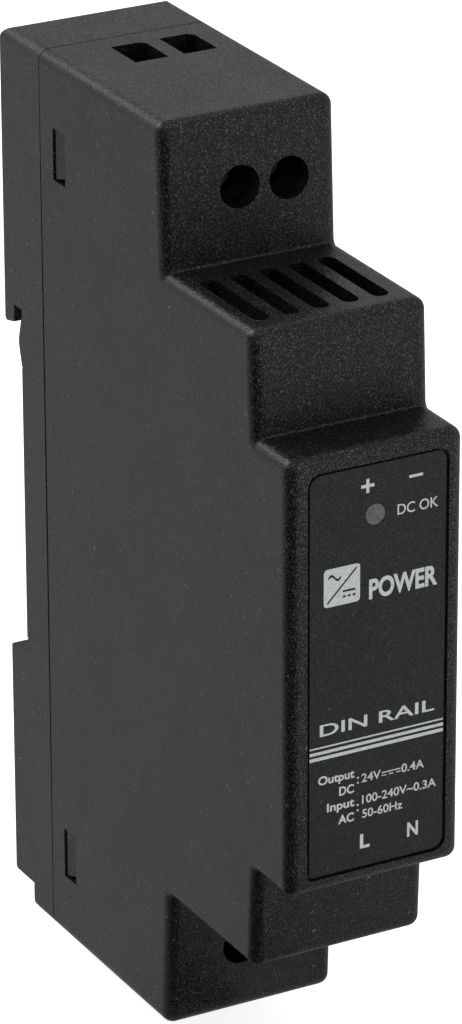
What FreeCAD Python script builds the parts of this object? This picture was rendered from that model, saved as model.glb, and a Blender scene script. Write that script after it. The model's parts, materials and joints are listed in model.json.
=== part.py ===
import FreeCAD, Part
import os

# One-module DIN rail power supply, in millimetres.
# +Z is up, +X is to the right seen from the front, and the front faces -Y.
# The origin is the centre of the rail, on the floor of the rail recess.

# ---- driving dimensions -------------------------------------------------------
CASE_WIDTH = 18.0            # one modular width
CASE_HEIGHT = 91.0
CASE_DEPTH = 55.6
RECESS_DEPTH = 3.4           # rail recess, from the back plane to its floor
WALL = 1.5
EDGE_RADIUS = 1.15           # moulded outer edges
STEP_FILLET = 0.25           # inner corners at the feet of the steps
LEAN = 0.047                 # backward lean of the stepped front faces, per mm of height

BEZEL_HALF = 21.4            # half height of the front step that carries the label
STEP_HALF = 31.45            # half height of the middle step with the vents
STEP_SETBACK = 6.1           # bezel face to middle step
SHOULDER_SETBACK = 22.9      # bezel face to the terminal blocks' front
SEAM_Y = -4.7                # joint between the front housing and the rear cover
SEAM_GAP = 0.12
SEAM_BOW = 0.16              # extra gap half way down the side walls

HOOK_BACK_THICK = 1.9        # wall of the hook that goes over the rail
HOOK_END_Z = 16.0
HOOK_ROOT_Z = 18.2           # roof of the slot that takes the rail's upper lip
LUG_TOP_Z = -17.85           # lower lug, just under the rail's lower lip
SEAT_Z = (-16.0, 12.2)       # raised pad of the recess floor
SEAT_STEP = 0.15
NOTCH_TOP_Z = -42.6          # bottom corner cut back for the latch's pull tab
NOTCH_Y = -0.5

POLE_X = (-1.05, 4.03)       # 5.08 mm pitch
SCREW_Z = 38.4
SCREW_HOLE_RADIUS = 2.04
WIRE_HALF_X = 1.73           # wire entries in the top and bottom
WIRE_Y = (-12.2, -7.2)

LABEL_X = (-6.72, 7.2)
LABEL_Z = (-19.76, 19.6)
LABEL_THICK = 0.3
LABEL_RECESS = 0.42
LABEL_MARGIN = 0.26
LABEL_CORNERS = (1.15, 1.0, 0.45, 1.1)   # radii: upper left, upper right, lower left, lower right
LAMP_X = -0.06
LAMP_Z = 14.78
LAMP_RADIUS = 1.0

VENT_COUNT = 5
VENT_PITCH = 3.03
VENT_CENTRE_X = -0.34
VENT_WIDTH = 1.7
VENT_Y = (-43.25, -32.3)

WINDOW_Y = (-9.8, -7.35)     # snap windows in the housing's side walls
WINDOW_Z = (33.6, 38.75)
SNAP_GAP = 0.38              # window's rear edge to the snap lug

RIB_HEIGHT = 0.65            # ribs on the recess floor that press on the rail
RIB_Z = (12.3, 17.3)

LIP_THICK = 0.85             # rim of the cover that enters the housing
LIP_PLAY = 0.08

LATCH_TRAVEL = 4.0
LATCH_TOP_Z = -16.2
LATCH_HALF_X = 5.25          # tongue, seen from the back
LATCH_WING_HALF_X = 6.25     # wings that run in the cover's grooves
LATCH_WING_Y = (-1.25, 0.7)
LATCH_BACK_Y = 3.2
LATCH_CLEARANCE = 0.1
POST_Z = (-39.5, -38.0)      # cover's post inside the latch, which the spring stands on
SPRING_COILS = 7.5
SPRING_RADIUS = 1.35
SPRING_WIRE = 0.2
SPRING_PRESSED = 7.3         # length with the latch pulled down

THREAD_PITCH = 0.45          # M2.5 clamp screws
CLAMP_TURNS = 6
SCREW_RADIUS = 1.25
SCREW_HEAD_RADIUS = 1.9
SCREW_HEAD_LENGTH = 2.0

BOARD_X = (-5.4, -3.8)
BOARD_BACK_Y = -7.2
PIN_PROUD = 0.6              # length of the pins on the solder side

# ---- values that follow from them --------------------------------------------
HALF_X = CASE_WIDTH / 2
HALF_Z = CASE_HEIGHT / 2
BACK_Y = RECESS_DEPTH
BEZEL_Y = BACK_Y - CASE_DEPTH
STEP_Y = BEZEL_Y + STEP_SETBACK
SHOULDER_Y = BEZEL_Y + SHOULDER_SETBACK
STEP_OUTER_Y = STEP_Y + LEAN * (STEP_HALF - BEZEL_HALF)
SHOULDER_OUTER_Y = SHOULDER_Y + LEAN * (HALF_Z - STEP_HALF)
HOOK_INNER_Y = BACK_Y - HOOK_BACK_THICK
HOUSING_BACK_Y = SEAM_Y - SEAM_GAP / 2
COVER_FRONT_Y = SEAM_Y + SEAM_GAP / 2
INNER_X = HALF_X - WALL
SPRING_LENGTH = SPRING_PRESSED + LATCH_TRAVEL
CLAMP_TRAVEL = THREAD_PITCH * CLAMP_TURNS
BIG = 200.0                  # longer than anything here, for cuts that go right through


# ---- small helpers ------------------------------------------------------------
def box(x, y, z):
    """Box from its three (low, high) ranges."""
    corner = FreeCAD.Vector(x[0], y[0], z[0])
    return Part.makeBox(x[1] - x[0], y[1] - y[0], z[1] - z[0], corner)


def span(centre, half):
    return (centre - half, centre + half)


def rod(start, end, radius):
    """Cylinder between two points."""
    first = FreeCAD.Vector(*start)
    run = FreeCAD.Vector(*end) - first
    return Part.makeCylinder(radius, run.Length, first, run)


def side_prism(points, x):
    """Outline in (y, z) drawn out along X over the range x."""
    corners = [FreeCAD.Vector(x[0], y, z) for y, z in points]
    face = Part.Face(Part.makePolygon(corners + corners[:1]))
    return face.extrude(FreeCAD.Vector(x[1] - x[0], 0, 0))


def plan_prism(points, z):
    """Outline in (x, y) drawn out along Z over the range z."""
    corners = [FreeCAD.Vector(x, y, z[0]) for x, y in points]
    face = Part.Face(Part.makePolygon(corners + corners[:1]))
    return face.extrude(FreeCAD.Vector(0, 0, z[1] - z[0]))


def mirror_z(shape):
    return shape.mirror(FreeCAD.Vector(0, 0, 0), FreeCAD.Vector(0, 0, 1))


def flip(shape, side):
    """The shape itself at the top, side = 1, or its mirror image at the bottom, side = -1."""
    return shape if side > 0 else mirror_z(shape)


def fuse(shapes):
    joined = shapes[0]
    for shape in shapes[1:]:
        joined = joined.fuse(shape)
    return joined.removeSplitter()


def cut(shape, tools):
    for tool in tools:
        shape = shape.cut(tool)
    return shape


def pick_edges(shape, wanted):
    """Edges whose middle point and direction satisfy the test."""
    found = []
    for edge in shape.Edges:
        middle = edge.valueAt((edge.FirstParameter + edge.LastParameter) / 2)
        tangent = edge.tangentAt(edge.FirstParameter)
        if wanted(middle, tangent):
            found.append(edge)
    return found


def near(value, target, tolerance=0.02):
    return abs(value - target) < tolerance


def rounded_box(x, y, z, radius, axis):
    """Box with its four edges along one axis rounded."""
    shape = box(x, y, z)
    edges = pick_edges(shape, lambda middle, tangent: abs(getattr(tangent, axis)) > 0.99)
    return shape.makeFillet(radius, edges)


# ---- front housing ------------------------------------------------------------
def housing_profile(inset, back):
    """Stepped outline in (y, z), drawn in by the inset and open at the back."""
    upper = [
        (BEZEL_Y + inset, BEZEL_HALF - inset),
        (STEP_Y + inset, BEZEL_HALF - inset),
        (STEP_OUTER_Y + inset, STEP_HALF - inset),
        (SHOULDER_Y + inset, STEP_HALF - inset),
        (SHOULDER_OUTER_Y + inset, HALF_Z - inset),
        (back, HALF_Z - inset),
    ]
    lower = [(y, -z) for y, z in reversed(upper)]
    return upper + lower


def outer_edge(middle, tangent):
    """Outside edges of the housing that the mould rounds off."""
    if near(middle.y, HOUSING_BACK_Y):
        return False
    if abs(tangent.x) > 0.99:
        fronts = ((BEZEL_Y, BEZEL_HALF), (STEP_OUTER_Y, STEP_HALF), (SHOULDER_OUTER_Y, HALF_Z))
        return any(near(middle.y, y) and near(abs(middle.z), z) for y, z in fronts)
    return near(abs(middle.x), HALF_X)


def step_foot(middle, tangent):
    """Inner corners where a step's front face stands on the step below it."""
    feet = ((STEP_Y, BEZEL_HALF), (SHOULDER_Y, STEP_HALF))
    return abs(tangent.x) > 0.99 and any(near(middle.y, y) and near(abs(middle.z), z) for y, z in feet)


def vent_cutters():
    cutters = []
    for index in range(VENT_COUNT):
        centre = VENT_CENTRE_X + (index - (VENT_COUNT - 1) / 2) * VENT_PITCH
        slot = rounded_box(span(centre, VENT_WIDTH / 2), VENT_Y,
                           (STEP_HALF - 2 * WALL, STEP_HALF + 1), VENT_WIDTH / 2 - 0.01, "z")
        cutters += [slot, mirror_z(slot)]
    return cutters


def wire_entry(pole, low, high):
    """Rectangular wire entry with one bevelled corner."""
    bevel = 0.6
    left, right = pole - WIRE_HALF_X, pole + WIRE_HALF_X
    front, back = WIRE_Y
    outline = [(left, front), (right, front), (right, back - bevel), (right - bevel, back), (left, back)]
    return plan_prism(outline, (low, high))


def terminal_openings():
    """Screwdriver holes in front and wire entries above and below."""
    cutters = []
    for pole in POLE_X:
        hole = rod((pole, SHOULDER_Y - 3, SCREW_Z), (pole, SHOULDER_Y + 4, SCREW_Z), SCREW_HOLE_RADIUS)
        entry = wire_entry(pole, HALF_Z - 2 * WALL, HALF_Z + 1)
        cutters += [hole, entry, mirror_z(hole), mirror_z(entry)]
    return cutters


def label_outline(grow, y):
    """Label's outline with its four unequal corners, as a prism over the range y."""
    left, right = LABEL_X[0] - grow, LABEL_X[1] + grow
    low, high = LABEL_Z[0] - grow, LABEL_Z[1] + grow
    shape = box((left, right), y, (low, high))
    corners = ((left, high), (right, high), (left, low), (right, low))
    for (x, z), radius in zip(corners, LABEL_CORNERS):
        edges = pick_edges(shape, lambda middle, tangent: near(middle.x, x) and near(middle.z, z))
        shape = shape.makeFillet(radius + grow / 2, edges)
    return shape


def seam_bow():
    """Sliver that opens the seam towards the middle of the side walls."""
    half = HALF_Z - 4.0
    ends = [FreeCAD.Vector(-BIG / 2, HOUSING_BACK_Y, z) for z in (-half, half)]
    arc = Part.Arc(ends[0], FreeCAD.Vector(-BIG / 2, HOUSING_BACK_Y - SEAM_BOW, 0), ends[1]).toShape()
    chord = Part.makeLine(ends[1], ends[0])
    return Part.Face(Part.Wire([arc, chord])).extrude(FreeCAD.Vector(BIG, 0, 0))


def front_housing():
    shell = side_prism(housing_profile(0, HOUSING_BACK_Y), (-HALF_X, HALF_X))
    shell = shell.makeFillet(STEP_FILLET, pick_edges(shell, step_foot))
    shell = shell.makeFillet(EDGE_RADIUS, pick_edges(shell, outer_edge))
    cavity = side_prism(housing_profile(WALL, HOUSING_BACK_Y + 1), (-INNER_X, INNER_X))
    recess = label_outline(LABEL_MARGIN, (BEZEL_Y - 1, BEZEL_Y + LABEL_RECESS))
    lamp_hole = rod((LAMP_X, BEZEL_Y - 1, LAMP_Z), (LAMP_X, BEZEL_Y + 3, LAMP_Z), LAMP_RADIUS + 0.05)
    windows = []
    for side in (-1, 1):
        for wall_x in ((-HALF_X - 1, -INNER_X + 0.5), (INNER_X - 0.5, HALF_X + 1)):
            windows.append(flip(box(wall_x, WINDOW_Y, WINDOW_Z), side))
    openings = windows + vent_cutters() + terminal_openings()
    shell = cut(shell, [cavity, seam_bow(), recess, lamp_hole] + openings)
    return fuse([shell] + board_rails())


def board_rails():
    """Pairs of ribs inside the left wall that hold the board's lower and upper edges."""
    ribs = []
    for side in (-1, 1):
        for y in (-24.0, -14.0):
            rib = box((-INNER_X - 0.3, BOARD_X[0] - 0.02), span(y, 0.5), (36.0, HALF_Z - WALL + 0.3))
            ribs.append(flip(rib, side))
    return ribs


def front_label():
    plate = label_outline(0, (BEZEL_Y + LABEL_RECESS - LABEL_THICK, BEZEL_Y + LABEL_RECESS))
    window = rod((LAMP_X, BEZEL_Y - 1, LAMP_Z), (LAMP_X, BEZEL_Y + 2, LAMP_Z), LAMP_RADIUS + 0.05)
    return plate.cut(window)


# ---- rear cover ---------------------------------------------------------------
def cover_profile():
    """Outline in (y, z) with the rail recess, its hook, the lower lug and the bottom notch."""
    return [
        (COVER_FRONT_Y, HALF_Z),
        (BACK_Y, HALF_Z),
        (BACK_Y, HOOK_END_Z),
        (HOOK_INNER_Y, HOOK_END_Z + 0.45),
        (HOOK_INNER_Y, HOOK_ROOT_Z),
        (-SEAT_STEP, HOOK_ROOT_Z),
        (-SEAT_STEP, SEAT_Z[1]),
        (0.0, SEAT_Z[1]),
        (0.0, SEAT_Z[0]),
        (-SEAT_STEP, SEAT_Z[0]),
        (-SEAT_STEP, LUG_TOP_Z),
        (BACK_Y, LUG_TOP_Z),
        (BACK_Y, NOTCH_TOP_Z),
        (NOTCH_Y, NOTCH_TOP_Z),
        (NOTCH_Y, -HALF_Z + 0.6),
        (NOTCH_Y - 0.6, -HALF_Z),
        (COVER_FRONT_Y, -HALF_Z),
    ]


def cover_outer_edge(middle, tangent):
    if near(middle.y, COVER_FRONT_Y):
        return False
    along_side = near(abs(middle.x), HALF_X) and abs(tangent.x) < 0.5
    top_or_bottom = near(abs(middle.z), HALF_Z)
    if along_side:
        return top_or_bottom
    return abs(tangent.x) > 0.99 and near(middle.y, BACK_Y) and near(middle.z, HALF_Z)


def cover_soft_edge(middle, tangent):
    """Tips of the hook and the lug, and the corner above the bottom notch."""
    tip = any(near(middle.z, z) for z in (HOOK_END_Z, LUG_TOP_Z, NOTCH_TOP_Z))
    return abs(tangent.x) > 0.99 and near(middle.y, BACK_Y) and tip


def rail_ribs():
    """Low ribs on the recess floor that press on the rail's upper flange, one at each side."""
    low, high = RIB_Z
    root = -0.5
    outline = [(root, low), (0.0, low), (RIB_HEIGHT, (low + high) / 2), (0.0, high), (root, high)]
    ribs = []
    for side in (-1, 1):
        x = sorted((side * (HALF_X - 2.2), side * HALF_X))
        rib = side_prism(outline, x)
        crest = pick_edges(rib, lambda middle, tangent: near(middle.y, RIB_HEIGHT))
        ribs.append(rib.makeFillet(2.0, crest))
    return ribs


def cover_cavities():
    """Hollows behind the upper wall, the recess floor and the lower wall."""
    front = SEAM_Y - 1
    inner = (-INNER_X, INNER_X)
    upper = box(inner, (front, BACK_Y - WALL), (HOOK_ROOT_Z + WALL, HALF_Z - WALL))
    middle = box(inner, (front, -WALL), (LUG_TOP_Z + WALL, HOOK_ROOT_Z + WALL + 0.1))
    channel_wall = LATCH_WING_Y[0] - LATCH_CLEARANCE - 1.3
    lower = box(inner, (front, channel_wall), (-HALF_Z + WALL, LUG_TOP_Z + WALL + 0.1))
    return [upper, middle, lower]


def latch_channel():
    """T-shaped guide for the rail latch, open to the back and to the bottom."""
    gap = LATCH_CLEARANCE
    low, high = LATCH_WING_Y
    wing = box(span(0, LATCH_WING_HALF_X + gap), (low - gap, high + gap), (-BIG / 2, -19.4))
    tongue = box(span(0, LATCH_HALF_X + gap), (high - gap, BACK_Y + 1), (-BIG / 2, LUG_TOP_Z + 1))
    return [wing, tongue]


def spring_post():
    """Post in the channel that carries the spring and stops the latch from rising."""
    return box(span(0, 1.6), (-1.6, 2.0), POST_Z)


def frame_ring(outer_x, outer_z, y):
    """Thin rectangular rim around the opening."""
    rim = box(span(0, outer_x), y, span(0, outer_z))
    return rim.cut(box(span(0, outer_x - LIP_THICK), (-BIG, BIG), span(0, outer_z - LIP_THICK)))


def cover_lip():
    """Rim that enters the front housing, and the four snap arms on it."""
    outer = INNER_X - LIP_PLAY
    top = HALF_Z - WALL - LIP_PLAY
    root = frame_ring(INNER_X + 0.25, HALF_Z - WALL + 0.25, (COVER_FRONT_Y, SEAM_Y + 1.5))
    spigot = frame_ring(outer, top, (SEAM_Y - 0.7, COVER_FRONT_Y + 0.2))
    pieces = [fuse([root, spigot])]
    arm_z = (WINDOW_Z[0] + 1.0, WINDOW_Z[1] - 0.1)
    windows = (WINDOW_Z, (-WINDOW_Z[1], -WINDOW_Z[0]))
    for hand in (-1, 1):
        x = sorted((hand * (outer - 0.72), hand * outer))
        for side, window_z in zip((1, -1), windows):
            arm = flip(box(x, (WINDOW_Y[0] - 0.5, SEAM_Y + 1), arm_z), side)
            pieces.append(fuse([arm, snap_lug(hand, outer, window_z)]))
    return pieces


def snap_lug(hand, outer, window_z):
    """Lug in the window: near the side's face at its rear edge, sunk and cut away below at its front."""
    low, high = window_z
    rear, front = WINDOW_Y[1] - SNAP_GAP, WINDOW_Y[0] + 0.04
    outline = [(rear, low + 0.15), (rear, high - 0.15), (front, high - 0.05), (front, low + 0.75)]
    block = side_prism(outline, sorted((hand * (outer - 0.1), hand * HALF_X)))
    shallow, deep = hand * (HALF_X - 0.12), hand * (HALF_X - 0.42)
    beyond = hand * (HALF_X + 1)
    shaving = [(shallow, rear + 0.1), (beyond, rear + 0.1), (beyond, front - 0.1), (deep, front - 0.1)]
    return block.cut(plan_prism(shaving, (low - 1, high + 1)))


def rear_cover():
    body = side_prism(cover_profile(), (-HALF_X, HALF_X))
    body = body.makeFillet(EDGE_RADIUS, pick_edges(body, cover_outer_edge))
    body = body.makeFillet(0.4, pick_edges(body, cover_soft_edge))
    body = cut(body, cover_cavities() + latch_channel())
    return fuse([body, spring_post()] + rail_ribs() + cover_lip())


# ---- rail latch and its spring --------------------------------------------------
def rail_latch():
    """Tongue with side wings, a bevelled nose that grips the rail and a slotted pull tab."""
    low = NOTCH_TOP_Z + 0.3
    back = LATCH_BACK_Y
    wing = box(span(0, LATCH_WING_HALF_X), LATCH_WING_Y, (low, -19.6))
    tongue = box(span(0, LATCH_HALF_X), (LATCH_WING_Y[1], back), (low, -19.0))
    nose_outline = [(1.3, -19.2), (back, -19.2), (back, -17.6), (1.9, LATCH_TOP_Z), (1.3, LATCH_TOP_Z)]
    nose = side_prism(nose_outline, span(0, LATCH_HALF_X))
    tab = box(span(0, LATCH_HALF_X - 0.6), (0.0, back), (-HALF_Z + 0.1, low + 0.2))
    slot = rounded_box(span(0, 2.6), (-1, 4), (-44.75, -43.35), 0.4, "y")
    pocket = box(span(0, 1.95), (-2, 2.3), (-39.7, -26.2))
    latch = fuse([wing, tongue, nose, tab])
    corners = pick_edges(latch, lambda middle, tangent: abs(tangent.y) > 0.99
                         and near(middle.z, -HALF_Z + 0.1))
    latch = latch.makeFillet(0.8, corners)
    return cut(latch, [slot, pocket])


def latch_spring():
    """Compression spring between the cover's post and the top of the latch's pocket."""
    helix = Part.makeHelix(SPRING_LENGTH / SPRING_COILS, SPRING_LENGTH, SPRING_RADIUS)
    start = FreeCAD.Vector(SPRING_RADIUS, 0, 0)
    ring = Part.Wire(Part.makeCircle(SPRING_WIRE, start, FreeCAD.Vector(0, 1, 0)))
    coil = Part.Wire(helix.Edges).makePipeShell([ring], True, True)
    coil.translate(FreeCAD.Vector(0, 0.5, POST_Z[1] + SPRING_WIRE + 0.05))
    return coil


# ---- status lamp ----------------------------------------------------------------
def light_pipe():
    """Clear rod behind the label's round window, with a shoulder inside the wall."""
    front = BEZEL_Y + 0.14
    shaft = rod((LAMP_X, front, LAMP_Z), (LAMP_X, -47.6, LAMP_Z), LAMP_RADIUS)
    shoulder = rod((LAMP_X, BEZEL_Y + WALL + 0.02, LAMP_Z), (LAMP_X, -49.9, LAMP_Z), 1.6)
    return fuse([shaft, shoulder])


LED_LEAD_Y = (-44.7, -44.3)


def status_led():
    """Round lamp facing forwards, its two leads bent across to the board."""
    dome_y = -47.3
    body = rod((LAMP_X, dome_y + 0.8, LAMP_Z), (LAMP_X, -44.9, LAMP_Z), 1.45)
    dome = Part.makeSphere(1.45, FreeCAD.Vector(LAMP_X, dome_y + 1.45, LAMP_Z))
    flange = rod((LAMP_X, -45.4, LAMP_Z), (LAMP_X, -44.9, LAMP_Z), 1.7)
    pieces = [body, dome, flange]
    for offset in (-0.8, 0.8):
        z = span(LAMP_Z + offset, 0.2)
        pieces.append(box(span(LAMP_X, 0.2), (-45.0, LED_LEAD_Y[1]), z))
        pieces.append(box((BOARD_X[0] - 0.5, LAMP_X + 0.2), LED_LEAD_Y, z))
    return fuse(pieces)


# ---- terminals ------------------------------------------------------------------
BLOCK_X = (-3.75, 6.6)
BLOCK_Y = (-27.1, -5.5)
TUNNEL_RADIUS = 2.25         # screwdriver guide, a little wider than the hole in the case
BLOCK_Z = (33.2, 43.9)
CAGE_Z = (36.0, 40.8)
LEDGE_Y = (-21.7, -20.75)    # ledge under the screw heads
CAGE_Y = (LEDGE_Y[1] + CLAMP_TRAVEL + 0.25, -6.15)
CONTACT_Y = (-13.3, -12.5)
# the right-hand pole's contact passes under the left-hand one on its way to the board
CONTACT_FOOT_Z = {POLE_X[0]: (34.35, 35.1), POLE_X[1]: (33.35, 34.1)}


def contact_shape(pole, grow):
    """Flat bar through the clamp and its foot across to the board."""
    foot_low, foot_high = CONTACT_FOOT_Z[pole]
    y = (CONTACT_Y[0] - grow, CONTACT_Y[1] + grow)
    bar = box(span(pole, 1.25 + grow), y, (foot_low - grow, 41.6 + grow))
    foot = box((BOARD_X[0] - PIN_PROUD, pole + 1.25 + grow), y, (foot_low - grow, foot_high + grow))
    return fuse([bar, foot])


def terminal_block(side):
    body = box(BLOCK_X, BLOCK_Y, BLOCK_Z)
    tools = []
    for pole in POLE_X:
        cavity = box(span(pole, 2.1), (LEDGE_Y[1], -6.0), (35.4, 41.4))
        funnel = box(span(pole, WIRE_HALF_X), WIRE_Y, (41.0, HALF_Z))
        tunnel = rod((pole, BLOCK_Y[0] - 1, SCREW_Z), (pole, LEDGE_Y[0], SCREW_Z), TUNNEL_RADIUS)
        shank = rod((pole, LEDGE_Y[0] - 1, SCREW_Z), (pole, LEDGE_Y[1] + 1, SCREW_Z), SCREW_RADIUS + 0.1)
        tools += [cavity, funnel, tunnel, shank, contact_shape(pole, 0.05)]
    return flip(cut(body, tools), side)


def clamp_screw(pole, side):
    """Cheese-head screw with a cross and slot drive, its shank in the clamp's thread."""
    head_back = LEDGE_Y[0] - 0.05
    head_front = head_back - SCREW_HEAD_LENGTH
    head = rod((pole, head_front, SCREW_Z), (pole, head_back, SCREW_Z), SCREW_HEAD_RADIUS)
    shank = rod((pole, head_back - 0.5, SCREW_Z), (pole, CONTACT_Y[0] - 0.3, SCREW_Z), SCREW_RADIUS)
    deep = (head_front - 1, head_front + 0.9)
    slot = box(span(pole, 1.75), deep, span(SCREW_Z, 0.3))
    cross = box(span(pole, 0.3), deep, span(SCREW_Z, 1.2))
    return flip(cut(fuse([head, shank]), [slot, cross]), side)


def clamp_cage(pole, side):
    """Box clamp around the contact bar, threaded in its front wall."""
    front, back = CAGE_Y
    outer = box(span(pole, 1.95), CAGE_Y, CAGE_Z)
    hollow = box(span(pole, 1.5), (front + 1.6, back - 0.85), (CAGE_Z[0] - 1, CAGE_Z[1] + 1))
    thread = rod((pole, front - 1, SCREW_Z), (pole, front + 2, SCREW_Z), SCREW_RADIUS + 0.05)
    edges = pick_edges(outer, lambda middle, tangent: abs(tangent.z) > 0.99)
    outer = outer.makeFillet(0.4, edges)
    return flip(cut(outer, [hollow, thread]), side)


def contact_bar(pole, side):
    return flip(contact_shape(pole, 0), side)


# ---- circuit board and what stands on it -----------------------------------------
ON_BOARD = BOARD_X[1]


def circuit_board():
    """Stepped board on edge beside the left wall, cut out for the contact feet."""
    gap = 1.1
    upper = [
        (BEZEL_Y + WALL + 2.0, BEZEL_HALF - WALL - gap),
        (STEP_Y + WALL + gap, BEZEL_HALF - WALL - gap),
        (STEP_Y + WALL + gap, STEP_HALF - WALL - gap),
        (SHOULDER_Y + WALL + gap, STEP_HALF - WALL - gap),
        (SHOULDER_Y + WALL + gap, HALF_Z - WALL - gap),
        (BOARD_BACK_Y, HALF_Z - WALL - gap),
    ]
    lower = [(y, -z) for y, z in reversed(upper)]
    board = side_prism(upper + lower, BOARD_X)
    tools = []
    for side in (-1, 1):
        for pole in POLE_X:
            foot_low, foot_high = CONTACT_FOOT_Z[pole]
            hole_y = (CONTACT_Y[0] - 0.1, CONTACT_Y[1] + 0.1)
            hole = box((-BIG, BIG), hole_y, (foot_low - 0.1, foot_high + 0.1))
            tools.append(flip(hole, side))
    for offset in (-0.8, 0.8):
        slit_y = (LED_LEAD_Y[0] - 0.1, LED_LEAD_Y[1] + 0.1)
        tools.append(box((-BIG, BIG), slit_y, span(LAMP_Z + offset, 0.3)))
    return cut(board, tools)


def pins(places, radius=0.3):
    """Round pins from the component's underside through to the solder side."""
    return [rod((ON_BOARD + 0.3, y, z), (BOARD_X[0] - PIN_PROUD, y, z), radius) for y, z in places]


def pin_holes(places, radius=0.3):
    return [rod((-BIG, y, z), (BIG, y, z), radius + 0.05) for y, z in places]


def lathe(outline, centre):
    """Solid of revolution about a line along Z through the centre (x, y); the outline is (radius, z)."""
    points = [FreeCAD.Vector(radius, 0, z) for radius, z in outline]
    face = Part.Face(Part.makePolygon(points + points[:1]))
    solid = face.revolve(FreeCAD.Vector(0, 0, 0), FreeCAD.Vector(0, 0, 1), 360)
    solid.translate(FreeCAD.Vector(centre[0], centre[1], 0))
    return solid


def can_capacitor(y, z, radius):
    """Electrolytic can lying along Z over the range z, with its rolled neck and bent leads."""
    x = ON_BOARD + 0.15 + radius
    low, high = z
    rim = 0.45
    outline = [
        (0, low), (radius - rim, low), (radius, low + rim),
        (radius, low + 1.5), (radius - 0.4, low + 1.9), (radius, low + 2.3),
        (radius, high - rim), (radius - rim, high), (0, high),
    ]
    pieces = [lathe(outline, (x, y))]
    for offset in (-radius / 2.4, radius / 2.4):
        lead_y = span(y + offset, 0.25)
        pieces.append(box(span(x, 0.25), lead_y, (low - 1.15, low + 0.5)))
        pieces.append(box((BOARD_X[0] - PIN_PROUD, x), lead_y, (low - 1.15, low - 0.65)))
    return fuse(pieces)


def can_lead_places(y, z, radius):
    return [(y + offset, z[0] - 0.9) for offset in (-radius / 2.4, radius / 2.4)]


TRANSFORMER_Y = (-33.0, -17.0)
TRANSFORMER_Z = (-8.0, 8.5)


def transformer_core():
    """Pair of E cores: a frame around the coil and a leg through it."""
    y0, y1 = TRANSFORMER_Y
    mid_y = (y0 + y1) / 2
    mid_z = sum(TRANSFORMER_Z) / 2
    x = (0.0, 4.6)
    outer = box(x, span(mid_y, 8.0), span(mid_z, 6.3))
    windows = [box((-1, 6), (mid_y - 5.9, mid_y - 2.0), span(mid_z, 4.4)),
               box((-1, 6), (mid_y + 2.0, mid_y + 5.9), span(mid_z, 4.4))]
    return cut(outer, windows)


def transformer_bobbin():
    """Coil former: tube on the middle leg, two flanges and a foot with its pins."""
    mid_y = sum(TRANSFORMER_Y) / 2
    mid_z = sum(TRANSFORMER_Z) / 2
    tube = box((-0.8, 5.4), span(mid_y, 2.8), span(mid_z, 4.3))
    tube = tube.cut(box((-0.05, 4.65), span(mid_y, 2.05), span(mid_z, 9)))
    flanges = []
    for side in (-1, 1):
        plate = box((-2.6, 6.9), span(mid_y, 5.7), span(mid_z + side * 3.95, 0.35))
        flanges.append(plate.cut(box((-0.05, 4.65), span(mid_y, 2.05), (-BIG, BIG))))
    feet = []
    for side in (-1, 1):
        foot = box((ON_BOARD + 0.1, -0.3), span(mid_y, 6.8), span(mid_z + side * 7.3, 0.9))
        strut = box((-2.6, -0.5), span(mid_y, 5.0), span(mid_z + side * 5.4, 1.3))
        feet += [foot, strut]
    return fuse([tube] + flanges + feet + pins(transformer_pins()))


def transformer_pins():
    mid_y = sum(TRANSFORMER_Y) / 2
    mid_z = sum(TRANSFORMER_Z) / 2
    return [(mid_y + step * 3.75, mid_z + side * 7.3) for side in (-1, 1) for step in (-1, 0, 1)]


def transformer_winding():
    """Coil wound on the former, with its taped outside."""
    mid_y = sum(TRANSFORMER_Y) / 2
    mid_z = sum(TRANSFORMER_Z) / 2
    coil = rounded_box((-2.5, 6.8), span(mid_y, 5.2), span(mid_z, 3.55), 1.2, "z")
    return coil.cut(box((-0.85, 5.45), span(mid_y, 2.85), (-BIG, BIG)))


CHOKE_CENTRE = (-21.6, -24.2)
CHOKE_RADIUS = 4.1
CHOKE_BORE = 1.9


def choke_core():
    """Ring core of the input filter, on edge against the board."""
    y, z = CHOKE_CENTRE
    ring = rod((-2.6, y, z), (1.4, y, z), CHOKE_RADIUS - 0.55)
    return ring.cut(rod((-5, y, z), (5, y, z), CHOKE_BORE))


def choke_winding():
    """Two coils of wire around the ring, their turns side by side, and the base they stand on."""
    y, z = CHOKE_CENTRE
    room_for_core = rod((-2.65, y, z), (1.45, y, z), CHOKE_RADIUS - 0.5)
    room_for_core = room_for_core.cut(rod((-5, y, z), (5, y, z), CHOKE_BORE - 0.05))
    bore = rod((-5, y, z), (5, y, z), 1.35)
    gap = box((-5, 5), span(y, 0.7), (-BIG, BIG))
    shell = cut(rod((-3.15, y, z), (1.95, y, z), CHOKE_RADIUS), [bore, room_for_core, gap])
    base = box((ON_BOARD + 0.1, -3.1), span(y, 4.2), span(z, 3.6))
    return fuse([shell, base] + pins(choke_pins()))


def choke_pins():
    y, z = CHOKE_CENTRE
    return [(y + a * 3.3, z + b * 2.6) for a in (-1, 1) for b in (-1, 1)]


def disc_part(centre_x, centre, radius, thick, axis, lead_span):
    """Dipped disc on two leads; its flat side faces along Y or Z."""
    y, z = centre
    half = thick / 2
    if axis == "z":
        disc = rod((centre_x, y, z - half), (centre_x, y, z + half), radius)
    else:
        disc = rod((centre_x, y - half, z), (centre_x, y + half, z), radius)
    disc = disc.makeFillet(half * 0.6, disc.Edges[0:1] + disc.Edges[2:3])
    return fuse([disc] + [rod((centre_x, py, pz), (BOARD_X[0] - PIN_PROUD, py, pz), 0.3)
                          for py, pz in disc_leads(centre, axis, lead_span)])


def disc_leads(centre, axis, lead_span):
    y, z = centre
    if axis == "z":
        return [(y - lead_span, z), (y + lead_span, z)]
    return [(y, z - lead_span), (y, z + lead_span)]


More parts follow.
